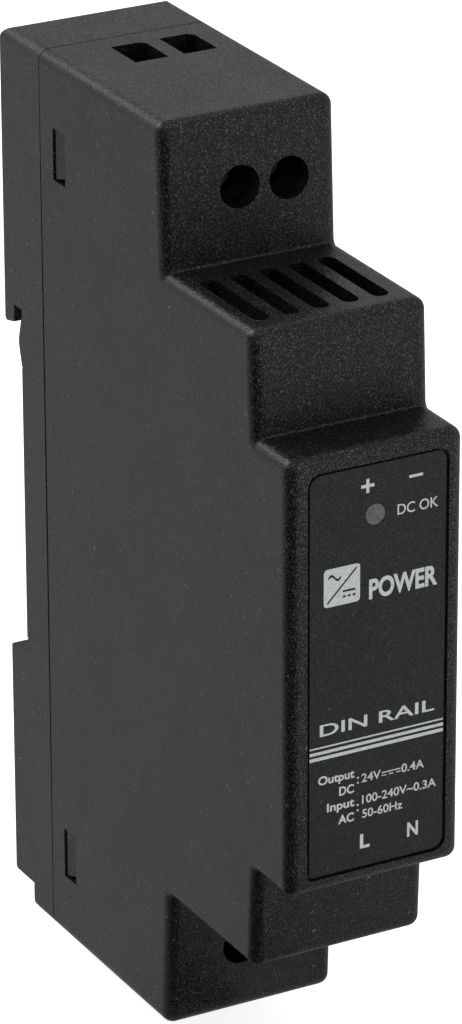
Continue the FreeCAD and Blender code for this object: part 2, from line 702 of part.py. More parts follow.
VARISTOR = {"centre": (-23.2, -30.9), "radius": 3.3, "thick": 3.0, "axis": "z", "lead_span": 2.0}
THERMISTOR = {"centre": (-15.6, -19.4), "radius": 3.0, "thick": 2.8, "axis": "y", "lead_span": 1.8}
BRIDGING_CAPACITOR = {"centre": (-10.4, -10.2), "radius": 3.4, "thick": 3.2, "axis": "y", "lead_span": 2.2}


def varistor():
    return disc_part(0.6, **VARISTOR)


def thermistor():
    return disc_part(0.2, **THERMISTOR)


def bridging_capacitor():
    return disc_part(0.8, **BRIDGING_CAPACITOR)


def block_part(x_top, y, z, lead_places, radius=0.6):
    """Moulded rectangular part standing on the board."""
    body = rounded_box((ON_BOARD + 0.1, x_top), y, z, radius, "x")
    return fuse([body] + pins(lead_places))


FUSE_PINS = [(-15.0, -31.0), (-15.0, -25.9)]
FILTER_CAP_PINS = [(-9.6, -30.2), (-9.6, -20.2)]
BRIDGE_PINS = [(y, z) for y in (-25.0, -19.9) for z in (-18.0, -14.2)]
CONTROLLER_PINS = [(y, z) for y in (-43.2, -40.7, -38.1, -35.6) for z in (-7.6, 0.0)]
COUPLER_PINS = [(y, z) for y in (-42.6, -40.1) for z in (2.2, 8.6)]
DIODE_PINS = [(-23.0, 10.6), (-23.0, 24.4)]
INDUCTOR_PINS = [(-12.6, 12.4), (-12.6, 17.4)]


def fuse_box():
    return block_part(4.4, (-17.1, -12.9), (-32.6, -24.3), FUSE_PINS)


def filter_capacitor():
    return block_part(6.0, (-12.4, -6.8), (-31.7, -18.7), FILTER_CAP_PINS)


def chip(y, z, x_top, leg_places):
    """Flat moulded package with a row of bent legs along each long side."""
    body = box((ON_BOARD + 0.35, x_top), y, z)
    body = body.makeChamfer(0.25, body.Edges)
    low, high = z
    legs = []
    for leg_y, leg_z in leg_places:
        reach = (leg_z, low + 0.3) if leg_z < low else (high - 0.3, leg_z)
        legs.append(box((ON_BOARD + 1.4, ON_BOARD + 1.7), span(leg_y, 0.25), reach))
        legs.append(box((BOARD_X[0] - PIN_PROUD, ON_BOARD + 1.7), span(leg_y, 0.25), span(leg_z, 0.15)))
    return fuse([body] + legs)


def bridge_rectifier():
    return chip((-26.4, -18.5), (-17.4, -14.8), ON_BOARD + 2.9, BRIDGE_PINS)


def controller_chip():
    return chip((-44.2, -34.6), (-7.0, -0.6), ON_BOARD + 3.5, CONTROLLER_PINS)


def optocoupler():
    return chip((-43.6, -39.0), (2.8, 8.0), ON_BOARD + 3.5, COUPLER_PINS)


def output_diode():
    """Axial rectifier lying along Z on bent leads."""
    x = ON_BOARD + 3.0
    (y, low), (_, high) = DIODE_PINS
    body = rod((x, y, low + 2.2), (x, y, high - 2.2), 2.6)
    wire = rod((x, y, low - 0.4), (x, y, high + 0.4), 0.5)
    drops = [rod((x, y, z), (BOARD_X[0] - PIN_PROUD, y, z), 0.5) for z in (low, high)]
    return fuse([body, wire] + drops)


def output_inductor():
    """Drum choke: ferrite bobbin with a wound waist."""
    y = INDUCTOR_PINS[0][0]
    z = (INDUCTOR_PINS[0][1] + INDUCTOR_PINS[1][1]) / 2
    bottom = ON_BOARD + 0.1
    top = bottom + 8.5
    flange = 1.3
    pieces = [
        rod((bottom, y, z), (bottom + flange, y, z), 4.0),
        rod((top - flange, y, z), (top, y, z), 4.0),
        rod((bottom, y, z), (top, y, z), 3.6),
    ]
    return fuse(pieces + pins(INDUCTOR_PINS))


BULK_CANS = [(-39.9, (-26.6, -10.6), 4.0), (-31.2, (-26.6, -10.6), 4.0)]
OUTPUT_CANS = [(-40.0, (12.6, 28.4), 4.0), (-31.7, (12.6, 28.4), 4.0)]
SUPPLY_CAN = (-10.6, (-3.4, 7.6), 2.5)


def insulating_sheet():
    """Film between the board's solder side and the left wall."""
    return box((-6.9, -6.65), (-44.0, -8.0), (-28.0, 28.0))


def drilled_board():
    places = transformer_pins() + choke_pins() + FUSE_PINS + FILTER_CAP_PINS + INDUCTOR_PINS
    for disc in (VARISTOR, THERMISTOR, BRIDGING_CAPACITOR):
        places += disc_leads(disc["centre"], disc["axis"], disc["lead_span"])
    for can in BULK_CANS + OUTPUT_CANS + [SUPPLY_CAN]:
        places += can_lead_places(*can)
    holes = pin_holes(places) + pin_holes(DIODE_PINS, 0.5)
    for y, z in BRIDGE_PINS + CONTROLLER_PINS + COUPLER_PINS:
        holes.append(box((-BIG, BIG), span(y, 0.32), span(z, 0.22)))
    return cut(circuit_board(), holes)


# ---- write one file per part ------------------------------------------------------
def all_parts():
    parts = {
        "front_housing": front_housing(),
        "rear_cover": rear_cover(),
        "rail_latch": rail_latch(),
        "latch_spring": latch_spring(),
        "front_label": front_label(),
        "light_pipe": light_pipe(),
        "status_led": status_led(),
        "circuit_board": drilled_board(),
        "insulating_sheet": insulating_sheet(),
        "output_terminal_block": terminal_block(1),
        "input_terminal_block": terminal_block(-1),
        "transformer_core": transformer_core(),
        "transformer_bobbin": transformer_bobbin(),
        "transformer_winding": transformer_winding(),
        "choke_core": choke_core(),
        "choke_winding": choke_winding(),
        "fuse_box": fuse_box(),
        "varistor": varistor(),
        "thermistor": thermistor(),
        "filter_capacitor": filter_capacitor(),
        "bridging_capacitor": bridging_capacitor(),
        "bridge_rectifier": bridge_rectifier(),
        "controller_chip": controller_chip(),
        "optocoupler": optocoupler(),
        "output_diode": output_diode(),
        "output_inductor": output_inductor(),
        "supply_capacitor": can_capacitor(*SUPPLY_CAN),
    }
    for index, can in enumerate(BULK_CANS, 1):
        parts["bulk_capacitor_%d" % index] = can_capacitor(*can)
    for index, can in enumerate(OUTPUT_CANS, 1):
        parts["output_capacitor_%d" % index] = can_capacitor(*can)
    left, right = POLE_X
    poles = (("plus", left, 1), ("minus", right, 1), ("line", left, -1), ("neutral", right, -1))
    for name, pole, side in poles:
        parts["clamp_screw_" + name] = clamp_screw(pole, side)
        parts["clamp_cage_" + name] = clamp_cage(pole, side)
        parts["contact_bar_" + name] = contact_bar(pole, side)
    return parts


def write_parts():
    os.makedirs("parts", exist_ok=True)
    for name, shape in all_parts().items():
        solids = shape.Solids
        if not shape.isValid() or not solids:
            raise RuntimeError(name + " isn't a valid solid")
        kept = solids[0] if len(solids) == 1 else Part.makeCompound(solids)
        kept.exportStep("parts/" + name + ".step")
        size = kept.BoundBox
        print("%-24s solids %d  volume %8.1f  x %6.2f..%6.2f  y %6.2f..%6.2f  z %6.2f..%6.2f" % (
            name, len(solids), kept.Volume, size.XMin, size.XMax, size.YMin, size.YMax, size.ZMin, size.ZMax))


write_parts()
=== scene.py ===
import bpy
import json
import math
from mathutils import Matrix, Vector


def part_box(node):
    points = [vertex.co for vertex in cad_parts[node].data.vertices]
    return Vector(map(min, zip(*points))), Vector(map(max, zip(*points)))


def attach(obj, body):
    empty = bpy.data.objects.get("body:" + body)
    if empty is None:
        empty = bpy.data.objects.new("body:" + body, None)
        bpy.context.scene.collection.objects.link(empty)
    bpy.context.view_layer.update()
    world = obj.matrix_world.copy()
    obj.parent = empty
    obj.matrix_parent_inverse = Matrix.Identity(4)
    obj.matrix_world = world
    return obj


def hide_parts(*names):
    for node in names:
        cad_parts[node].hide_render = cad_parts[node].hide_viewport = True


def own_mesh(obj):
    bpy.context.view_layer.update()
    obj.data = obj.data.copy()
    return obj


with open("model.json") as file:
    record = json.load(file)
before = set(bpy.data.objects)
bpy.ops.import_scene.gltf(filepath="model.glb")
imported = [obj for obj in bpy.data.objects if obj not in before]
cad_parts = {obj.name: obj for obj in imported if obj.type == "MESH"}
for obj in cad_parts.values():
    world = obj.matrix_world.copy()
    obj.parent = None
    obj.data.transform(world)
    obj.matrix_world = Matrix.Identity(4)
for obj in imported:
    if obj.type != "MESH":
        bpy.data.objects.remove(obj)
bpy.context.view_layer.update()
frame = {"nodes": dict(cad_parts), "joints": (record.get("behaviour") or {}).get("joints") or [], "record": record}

MM = 0.001
NODES = frame["nodes"]

ROOM = 0.54                          # brightness of the room that the gloss reflects
ROOM_GLOW = 0.28                     # brightness added behind and above
ROOM_TINT = (0.942, 1.0, 0.928, 1)


# ---- shader helpers -------------------------------------------------------------
GRAIN_SLANT = (0.31, 0.23, 0.17)     # turns the noise's grid, so that no wall lies along it
MIX_FIRST, MIX_SECOND, MIX_RESULT = 6, 7, 2     # colour sockets of the Mix node


class Shader:
    """A node material with short calls for the nodes that the finishes below share."""

    def __init__(self, name):
        self.material = bpy.data.materials.new(name)
        self.material.use_nodes = True
        self.tree = self.material.node_tree
        self.surface = self.tree.nodes["Principled BSDF"]
        self.position = self.node("ShaderNodeTexCoord").outputs["Object"]
        turned = self.node("ShaderNodeMapping")
        turned.inputs["Rotation"].default_value = GRAIN_SLANT
        self.link(self.position, turned.inputs["Vector"])
        self.grain_space = turned.outputs["Vector"]

    def node(self, kind):
        return self.tree.nodes.new(kind)

    def link(self, source, target):
        self.tree.links.new(source, target)

    def noise(self, size_mm, detail=2.0, roughness=0.5, distortion=0.0, stretch=None):
        """Noise whose blobs are about size_mm across, or longer where stretch is below 1."""
        texture = self.node("ShaderNodeTexNoise")
        texture.inputs["Scale"].default_value = 1 / (size_mm * MM)
        texture.inputs["Detail"].default_value = detail
        texture.inputs["Roughness"].default_value = roughness
        texture.inputs["Distortion"].default_value = distortion
        place = self.grain_space
        if stretch is not None:
            mapping = self.node("ShaderNodeMapping")
            mapping.inputs["Scale"].default_value = stretch
            self.link(place, mapping.inputs["Vector"])
            place = mapping.outputs["Vector"]
        self.link(place, texture.inputs["Vector"])
        return texture.outputs["Fac"]

    def cells(self, size_mm):
        """Distance from the middle of cells about size_mm across."""
        texture = self.node("ShaderNodeTexVoronoi")
        texture.inputs["Scale"].default_value = 1 / (size_mm * MM)
        self.link(self.grain_space, texture.inputs["Vector"])
        return texture.outputs["Distance"]

    def levels(self, value, low, high, to_low=0.0, to_high=1.0):
        """Maps low..high to to_low..to_high, clamped."""
        ramp = self.node("ShaderNodeMapRange")
        ramp.inputs["From Min"].default_value = low
        ramp.inputs["From Max"].default_value = high
        ramp.inputs["To Min"].default_value = to_low
        ramp.inputs["To Max"].default_value = to_high
        self.link(value, ramp.inputs["Value"])
        return ramp.outputs["Result"]

    def mix(self, factor, first, second):
        """Colour between two colours or sockets."""
        blend = self.node("ShaderNodeMix")
        blend.data_type = "RGBA"
        self.link(factor, blend.inputs["Factor"])
        for index, value in ((MIX_FIRST, first), (MIX_SECOND, second)):
            if isinstance(value, tuple):
                blend.inputs[index].default_value = (*value, 1.0)
            else:
                self.link(value, blend.inputs[index])
        return blend.outputs[MIX_RESULT]

    def along(self, axis):
        """Place along one axis of the part, in metres."""
        parts = self.node("ShaderNodeSeparateXYZ")
        self.link(self.position, parts.inputs["Vector"])
        return parts.outputs[axis]

    def facing(self, axis):
        """1 on walls square to the axis, 0 on walls along it."""
        parts = self.node("ShaderNodeSeparateXYZ")
        self.link(self.node("ShaderNodeNewGeometry").outputs["Normal"], parts.inputs["Vector"])
        return self.math("ABSOLUTE", parts.outputs[axis], 0.0)

    def math(self, operation, first, second):
        """Result of a math operation on two sockets or numbers."""
        step = self.node("ShaderNodeMath")
        step.operation = operation
        for socket, value in ((step.inputs[0], first), (step.inputs[1], second)):
            if isinstance(value, (int, float)):
                socket.default_value = value
            else:
                self.link(value, socket)
        return step.outputs["Value"]

    def vector(self, operation, first, second=(0, 0, 0)):
        """Outputs of a vector operation on a socket and a fixed vector."""
        step = self.node("ShaderNodeVectorMath")
        step.operation = operation
        self.link(first, step.inputs[0])
        step.inputs[1].default_value = second
        return step.outputs

    def bump(self, height, depth_mm):
        relief = self.node("ShaderNodeBump")
        relief.inputs["Distance"].default_value = depth_mm * MM
        self.link(height, relief.inputs["Height"])
        return relief.outputs["Normal"]

    def set(self, **values):
        for name, value in values.items():
            self.surface.inputs[name.replace("_", " ")].default_value = value

    def drive(self, name, output):
        self.link(output, self.surface.inputs[name])


def shade(colour, factor):
    return tuple(channel * factor for channel in colour)


# ---- grained plastic --------------------------------------------------------------
CHARCOAL = (0.0060, 0.0064, 0.0059)
LABEL_GREY = (0.0108, 0.0116, 0.0111)
# Tint of the painted glints: pale metallic flecks standing in for facets that catch the light.
PAINTED_GLINT_TINT = (0.955, 1.0, 0.965)
SCUFF_COLOUR = (0.06, 0.06, 0.055)
DUST_COLOUR = (0.12, 0.118, 0.108)

TOOTH_SIZE = 0.65                    # of the pits' size
TOOTH_HEIGHT = 0.45                  # of the pits' depth
CLOUD_MM = 7.0
SCUFF_MM = 0.25
SCUFF_STRETCH = (1.0, 0.5, 0.12)     # scuffs run upright
DUST_MM = 0.32
PIT_DARK, PIT_PALE = 0.2, 1.5        # of the base colour, in the pits and on the rises: painted shade in the pits

# Heights in the noise between which each of these sets in.
PIT_RANGE = (0.35, 0.65)
TOP_PIT_RANGE = (0.42, 0.58)
GLINT_RANGE = (0.54, 0.74)
SCUFF_RANGE = (0.72, 0.77)
DUST_RANGE = (0.80, 0.84)
GLOSS_RANGE = (0.3, 0.7)

SIDE_RANGE = (0.15, 0.6)             # how far a wall faces sideways while its painted glint fades
SIDE_GLINT = 0.36                    # painted glint left on the side walls: painted shade by facing
LOW_RANGE = (-0.030, 0.010)          # heights on the case between which the painted glint comes back
LOW_GLINT = 0.35                     # painted glint left on the lower blocks: painted shade towards the bottom
TOP_RANGE = (0.4, 0.9)               # how far a wall faces up while the painted highlight of the tops sets in
TOP_SPARKLE = 1.7                    # painted glints of the top faces, of those elsewhere: a painted highlight on the tops
CLOUD_GLOSS = 0.035
TOOTH_GLOSS = 0.10


def grained_plastic(name, colour, grain_mm, depth_mm, roughness, painted_glint_level=0.20, dusty=1.0):
    """Moulded plastic with a spark-eroded surface: pits, cloudy gloss, wear, and painted glints, which are pale
    metallic flecks on the tooth that also reflect real light.
    """
    shader = Shader(name)
    pits = shader.noise(grain_mm, detail=2.0, roughness=0.6)
    tooth = shader.noise(grain_mm * TOOTH_SIZE, detail=1.0)
    cloud = shader.noise(CLOUD_MM, detail=4.0, roughness=0.6)
    streaks = shader.noise(SCUFF_MM, detail=2.0, stretch=SCUFF_STRETCH)
    specks = shader.noise(DUST_MM, detail=0.0)

    # Painted shade: the painted glints are fewer on walls that face sideways and low on the case.
    side_on = shader.levels(shader.facing("X"), *SIDE_RANGE, 1.0, SIDE_GLINT)
    low_down = shader.levels(shader.along("Z"), *LOW_RANGE, LOW_GLINT, 1.0)
    # Painted glints: the tooth's peaks turn metallic with a pale base colour and stand in for facets catching the
    # light. Their metallic gloss reflects real light as well.
    glint = shader.levels(tooth, *GLINT_RANGE)
    glint = shader.math("MULTIPLY", glint, shader.math("MULTIPLY", side_on, low_down))
    shader.drive("Metallic", glint)

    # Painted shade in the pits: the colour is darker where the bump is low.
    tone = shader.levels(pits, *PIT_RANGE)
    tone = shader.mix(tone, shade(colour, PIT_DARK), shade(colour, PIT_PALE))
    # Painted highlight on faces that face up: a bright glint colour on the rises and none in the pits.
    painted_top_glint = shader.levels(pits, *TOP_PIT_RANGE)
    painted_top_glint = shader.mix(painted_top_glint, shade(PAINTED_GLINT_TINT, 0.0), shade(PAINTED_GLINT_TINT, painted_glint_level * TOP_SPARKLE))
    upward = shader.levels(shader.facing("Z"), *TOP_RANGE)
    painted_glint_colour = shader.mix(upward, shade(PAINTED_GLINT_TINT, painted_glint_level), painted_top_glint)
    glinting = shader.mix(glint, tone, painted_glint_colour)
    scuffed = shader.mix(shader.levels(streaks, *SCUFF_RANGE), glinting, SCUFF_COLOUR)
    dust = shader.levels(specks, *DUST_RANGE, 0.0, dusty)
    shader.drive("Base Color", shader.mix(dust, scuffed, DUST_COLOUR))

    cloud_gloss = shader.levels(cloud, *GLOSS_RANGE, -CLOUD_GLOSS, CLOUD_GLOSS)
    tooth_gloss = shader.levels(tooth, *GLOSS_RANGE, roughness - TOOTH_GLOSS, roughness + TOOTH_GLOSS)
    shader.drive("Roughness", shader.math("ADD", cloud_gloss, tooth_gloss))
    height = shader.math("ADD", pits, shader.math("MULTIPLY", tooth, TOOTH_HEIGHT))
    shader.drive("Normal", shader.bump(height, depth_mm))
    return shader.material


# ---- other materials ----------------------------------------------------------------
def smooth_plastic(name, colour, roughness, depth_mm=0.004):
    """Plastic moulded against a plain steel wall: faint flow marks and hardly any grain."""
    shader = Shader(name)
    flow = shader.noise(2.5, detail=4.0, distortion=0.6)
    tone = shader.levels(flow, 0.3, 0.7)
    shader.drive("Base Color", shader.mix(tone, shade(colour, 0.88), shade(colour, 1.12)))
    gloss = shader.levels(flow, 0.3, 0.7, roughness - 0.05, roughness + 0.07)
    shader.drive("Roughness", gloss)
    shader.drive("Normal", shader.bump(shader.noise(0.3, detail=3.0), depth_mm))
    return shader.material


def metal(name, colour, roughness):
    """Plated or drawn metal with fine marks and patches of duller plating."""
    shader = Shader(name)
    marks = shader.noise(0.25, detail=4.0, roughness=0.7)
    patches = shader.levels(shader.noise(1.8, detail=2.0), 0.35, 0.7)
    shader.drive("Base Color", shader.mix(patches, colour, shade(colour, 0.72)))
    gloss = shader.levels(marks, 0.3, 0.7, roughness - 0.08, roughness + 0.12)
    shader.drive("Roughness", gloss)
    shader.drive("Normal", shader.bump(marks, 0.002))
    shader.set(Metallic=1.0)
    return shader.material


def lamp_window(name):
    """Cloudy grey window: light scatters in it a little."""
    shader = Shader(name)
    haze = shader.levels(shader.noise(0.7, detail=3.0), 0.3, 0.7)
    shader.drive("Base Color", shader.mix(haze, (0.082, 0.085, 0.087), (0.145, 0.149, 0.152)))
    shader.drive("Roughness", shader.levels(haze, 0.3, 0.7, 0.25, 0.4))
    shader.drive("Normal", shader.bump(shader.noise(0.12, detail=2.0), 0.004))
    shader.set(Subsurface_Weight=0.2, Subsurface_Scale=0.4 * MM)
    return shader.material


def print_ink(name):
    """Pale screen-printed ink with thin spots."""
    shader = Shader(name)
    thin = shader.levels(shader.noise(0.09, detail=3.0), 0.3, 0.6)
    shader.drive("Base Color", shader.mix(thin, (0.36, 0.365, 0.365), (0.62, 0.63, 0.63)))
    shader.drive("Normal", shader.bump(shader.noise(0.1, detail=2.0), 0.006))
    shader.set(Roughness=0.5)
    return shader.material


def circuit_laminate(name):
    """Green solder mask over a faint weave."""
    shader = Shader(name)
    weave = shader.cells(0.5)
    shader.drive("Base Color", shader.mix(weave, (0.012, 0.10, 0.04), (0.02, 0.15, 0.06)))
    shader.drive("Normal", shader.bump(weave, 0.01))
    shader.set(Roughness=0.35)
    return shader.material


WAVE_LENGTH = 0.31                   # length of one band of the Wave node at scale 1


def wound_wire(name, colour, wire_mm):
    """Turns of wire lying side by side, with painted shade in the grooves between them."""
    shader = Shader(name)
    turns = shader.node("ShaderNodeTexWave")
    turns.bands_direction = "Z"
    turns.inputs["Scale"].default_value = WAVE_LENGTH / (wire_mm * MM)
    shader.link(shader.position, turns.inputs["Vector"])
    bands = turns.outputs["Fac"]
    # The colour darkens between the turns: painted shade in the grooves.
    shader.drive("Base Color", shader.mix(bands, shade(colour, 0.35), colour))
    shader.drive("Normal", shader.bump(bands, wire_mm * 0.4))
    shader.set(Roughness=0.3, Coat_Weight=0.3)
    return shader.material


# Each material slot's maker and what it is given after the name.
SLOTS = {
    "case_plastic": (grained_plastic, CHARCOAL, 0.22, 0.06, 0.32),
    "cover_plastic": (grained_plastic, shade(CHARCOAL, 2.2), 0.22, 0.06, 0.35),
    "latch_plastic": (grained_plastic, shade(CHARCOAL, 1.3), 0.18, 0.03, 0.38, 0.12, 0.4),
    "label_film": (grained_plastic, LABEL_GREY, 0.17, 0.03, 0.42, 0.12, 0.5),
    "lamp_window": (lamp_window,),
    "led_resin": (smooth_plastic, (0.16, 0.42, 0.16), 0.2),
    "board_laminate": (circuit_laminate,),
    "insulating_film": (smooth_plastic, (0.6, 0.57, 0.45), 0.3),
    "terminal_plastic": (smooth_plastic, (0.006, 0.0062, 0.006), 0.5),
    "plated_steel": (metal, (0.62, 0.61, 0.58), 0.32),
    "tinned_copper": (metal, (0.72, 0.68, 0.60), 0.38),
    "spring_steel": (metal, (0.50, 0.50, 0.50), 0.3),
    "ferrite": (smooth_plastic, (0.035, 0.035, 0.04), 0.7, 0.01),
    "former_plastic": (smooth_plastic, (0.03, 0.03, 0.03), 0.5),
    "winding_tape": (smooth_plastic, (0.72, 0.50, 0.06), 0.35),
    "enamelled_wire": (wound_wire, (0.50, 0.18, 0.05), 0.35),
    "moulded_black": (smooth_plastic, (0.018, 0.018, 0.018), 0.55),
    "fuse_plastic": (smooth_plastic, (0.06, 0.05, 0.045), 0.5),
    "dipped_blue": (smooth_plastic, (0.04, 0.10, 0.32), 0.35, 0.01),
    "dipped_green": (smooth_plastic, (0.04, 0.17, 0.09), 0.35, 0.01),
    "film_grey": (smooth_plastic, (0.50, 0.44, 0.10), 0.4),
    "can_sleeve": (smooth_plastic, (0.015, 0.016, 0.03), 0.25),
}
FINISHES = {slot: make(slot, *look) for slot, (make, *look) in SLOTS.items()}


def dress_nodes():
    for part in frame["record"]["subparts"]:
        piece = NODES[part["node"]]
        piece.data.materials.clear()
        piece.data.materials.append(FINISHES[part["material_slot"]])


# ---- label print ------------------------------------------------------------------
INK = print_ink("print_ink")
INK_THICK = 0.012 * MM
LABEL_FACE_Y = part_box("front_label")[0].y
HALF_THICK = 0.5                     # of a flat mesh, which is 1 thick until it is laid down


def as_mesh(name, curve):
    """Mesh that a curve or text makes, in the curve's own frame."""
    source = bpy.data.objects.new(name + "_source", curve)
    bpy.context.scene.collection.objects.link(source)
    bpy.context.view_layer.update()
    shown = source.evaluated_get(bpy.context.evaluated_depsgraph_get())
    mesh = bpy.data.meshes.new_from_object(shown)
    bpy.data.objects.remove(source)
    return mesh


def flat_mesh(name, curve):
    """Mesh of a filled curve or text, 1 thick, still in the curve's own plane."""
    curve.extrude = HALF_THICK
    return as_mesh(name, curve)


def text_mesh(name, text, bold):
    curve = bpy.data.curves.new(name, "FONT")
    curve.body = text
    curve.offset = bold
    return flat_mesh(name, curve)


def highest(mesh):
    return max(vertex.co.y for vertex in mesh.vertices)


CAP_HEIGHT = highest(text_mesh("cap_gauge", "H", 0.0))


def as_print(name, mesh, place):
    """Lays a flat mesh on the label as ink; place gives (x, z) in millimetres for its points."""
    for vertex in mesh.vertices:
        x, z = place(vertex.co.x, vertex.co.y)
        y = LABEL_FACE_Y - (vertex.co.z + HALF_THICK) * INK_THICK
        vertex.co = (x * MM, y, z * MM)
    mesh.name = name
    mesh.materials.clear()
    mesh.materials.append(INK)
    piece = bpy.data.objects.new(name, mesh)
    bpy.context.scene.collection.objects.link(piece)
    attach(piece, "case")


def printed_text(name, text, left, right, base, cap, bold):
    """Text between left and right on a base line, its capitals cap high, in millimetres."""
    mesh = text_mesh(name, text, bold)
    low_x = min(vertex.co.x for vertex in mesh.vertices)
    high_x = max(vertex.co.x for vertex in mesh.vertices)
    across = (right - left) / (high_x - low_x)
    up = cap / CAP_HEIGHT
    as_print(name, mesh, lambda x, y: (left + (x - low_x) * across, base + y * up))


def printed_outline(name, loops):
    """Filled loops of (x, z) points in millimetres; a loop inside another is a hole."""
    curve = bpy.data.curves.new(name, "CURVE")
    curve.dimensions = "2D"
    curve.fill_mode = "BOTH"
    for loop in loops:
        spline = curve.splines.new("POLY")
        spline.points.add(len(loop) - 1)
        for point, (x, z) in zip(spline.points, loop):
            point.co = (x, z, 0, 1)
        spline.use_cyclic_u = True
    as_print(name, flat_mesh(name, curve), lambda x, y: (x, y))


def bar(left, right, low, high):
    return [(left, low), (right, low), (right, high), (left, high)]


def rounded_square(left, low, side, radius):
    right, high = left + side, low + side
    corner_steps = 6
    loop = []
    for turn, (x, z) in enumerate(((right, high), (left, high), (left, low), (right, low))):
        centre_x = x - radius if x > left else x + radius
        centre_z = z - radius if z > low else z + radius
        for step in range(corner_steps + 1):
            angle = math.radians(90 * turn + 90 / corner_steps * step)
            loop.append((centre_x + radius * math.cos(angle), centre_z + radius * math.sin(angle)))
    return loop


def wave(left, right, middle, swing, thick):
    """One period of a sine, drawn as a band."""
    steps = 24
    upper, lower = [], []
    for step in range(steps + 1):
        part = step / steps
        x = left + (right - left) * part
        z = middle + swing * math.sin(2 * math.pi * part)
        upper.append((x, z + thick / 2))
        lower.append((x, z - thick / 2))
    return lower + upper[::-1]


def converter_symbol():
    """AC to DC converter sign: a filled square parted by its diagonal, with both signs cut out."""
    left, low, side, corner = -5.3, 6.74, 3.7, 0.35
    right, high = left + side, low + side
    near, far = 0.30, 0.42           # how far inside the square the diagonal's end points lie
    diagonal = [(left + near, low + far), (left + far, low + near),
                (right - near, high - far), (right - far, high - near)]
    alternating = wave(left + 0.45, left + 1.75, low + 2.75, swing=0.24, thick=0.26)
    direct = [bar(left + 1.95, left + 3.25, low + 1.18, low + 1.38)]
    dash, dash_pitch = 0.3, 0.5
    for index in range(3):
        start = left + 1.95 + dash_pitch * index
        direct.append(bar(start, start + dash, low + 0.66, low + 0.86))
    square = rounded_square(left, low, side, corner)
    printed_outline("mark_converter", [square, diagonal, alternating] + direct)


PLUS_X, MINUS_X, POLE_MARK_Z = -0.87, 4.07, 17.68
STRIPES = ((-6.96, -6.80), (-7.55, -7.25), (-8.13, -7.79))     # low and high edge of each
STRIPE_ENDS = (-6.70, 7.16)
COLON_DOTS = (-10.75, -11.25, -13.50, -14.02)


def printed_marks():
    """Pole marks, stripes, colons and the direct current sign of the rating."""
    arm, half = 0.68, 0.16
    plus = [(-arm, -half), (-half, -half), (-half, -arm), (half, -arm), (half, -half), (arm, -half),
            (arm, half), (half, half), (half, arm), (-half, arm), (-half, half), (-arm, half)]
    printed_outline("mark_plus", [[(PLUS_X + x, POLE_MARK_Z + z) for x, z in plus]])
    minus = bar(MINUS_X - 0.7, MINUS_X + 0.7, POLE_MARK_Z - 0.13, POLE_MARK_Z + 0.15)
    printed_outline("mark_minus", [minus])
    for index, (low, high) in enumerate(STRIPES):
        printed_outline(f"stripe_{index + 1}", [bar(*STRIPE_ENDS, low, high)])
    dot = 0.09
    dots = [bar(-1.79, -1.61, z - dot, z + dot) for z in COLON_DOTS]
    printed_outline("rating_colons", dots)
    dash = 0.45
    dashes = [bar(start, start + dash, -11.16, -11.06) for start in (0.77, 1.53, 2.29)]
    printed_outline("rating_direct_sign", [bar(0.77, 2.75, -10.89, -10.78)] + dashes)


LABEL_TEXT = (
    # name, text, left, right, base line, capital height, bold
    ("text_status", "DC OK", 2.19, 6.38, 14.25, 0.98, 0.008),
    ("text_word", "POWER", -0.67, 6.38, 6.72, 1.76, 0.035),
    ("text_series", "DIN RAIL", -5.66, 6.21, -5.78, 1.12, 0.012),
    ("text_output", "Output", -5.81, -2.05, -10.60, 0.80, 0.025),
    ("text_direct", "DC", -3.64, -2.10, -12.10, 0.82, 0.025),
    ("text_output_volts", "24V", -1.32, 0.68, -11.31, 0.81, 0.014),
    ("text_output_amps", "0.4A", 2.84, 5.20, -11.29, 0.81, 0.014),
    ("text_input", "Input", -4.90, -2.05, -13.46, 0.80, 0.025),
    ("text_alternating", "AC", -3.72, -2.08, -14.94, 0.82, 0.025),
    ("text_input_volts", "100-240V~0.3A", -1.25, 6.48, -13.47, 0.81, 0.014),
    ("text_input_hertz", "50-60Hz", -1.24, 2.96, -14.90, 0.81, 0.014),
    ("text_line", "L", -1.45, -0.42, -17.92, 1.34, 0.03),
    ("text_neutral", "N", 3.50, 4.64, -17.92, 1.34, 0.03),
)


def print_label():
    converter_symbol()
    printed_marks()
    for line in LABEL_TEXT:
        printed_text(*line)


# ---- latch spring -------------------------------------------------------------------
WIRE_RADIUS = 0.2 * MM
LIVE_TURNS = 6.0
CLOSED_TURNS = 1.0                   # at each end
CLOSED_PITCH = 2.1 * WIRE_RADIUS     # rise of a closed turn, a little over the wire's thickness
POINTS_PER_TURN = 24


def joint_travel(name):
    return max(next(joint["range_m"] for joint in frame["joints"] if joint["name"] == name))


def coil_points(low, high, radius):
    """Middle line of a compression spring: live turns between the closed turns at its ends."""
    turns = LIVE_TURNS + 2 * CLOSED_TURNS
    bottom, top = low + WIRE_RADIUS, high - WIRE_RADIUS
    closed_rise = CLOSED_TURNS * CLOSED_PITCH
    live_pitch = (top - bottom - 2 * closed_rise) / LIVE_TURNS
    points = []
    for step in range(int(turns * POINTS_PER_TURN) + 1):
        turn = step / POINTS_PER_TURN
        if turn < CLOSED_TURNS:
            z = bottom + turn * CLOSED_PITCH
        elif turns - turn < CLOSED_TURNS:
            z = top - (turns - turn) * CLOSED_PITCH
        else:
            z = bottom + closed_rise + (turn - CLOSED_TURNS) * live_pitch
        angle = 2 * math.pi * turn
        points.append((radius * math.cos(angle), radius * math.sin(angle), z))
    return points


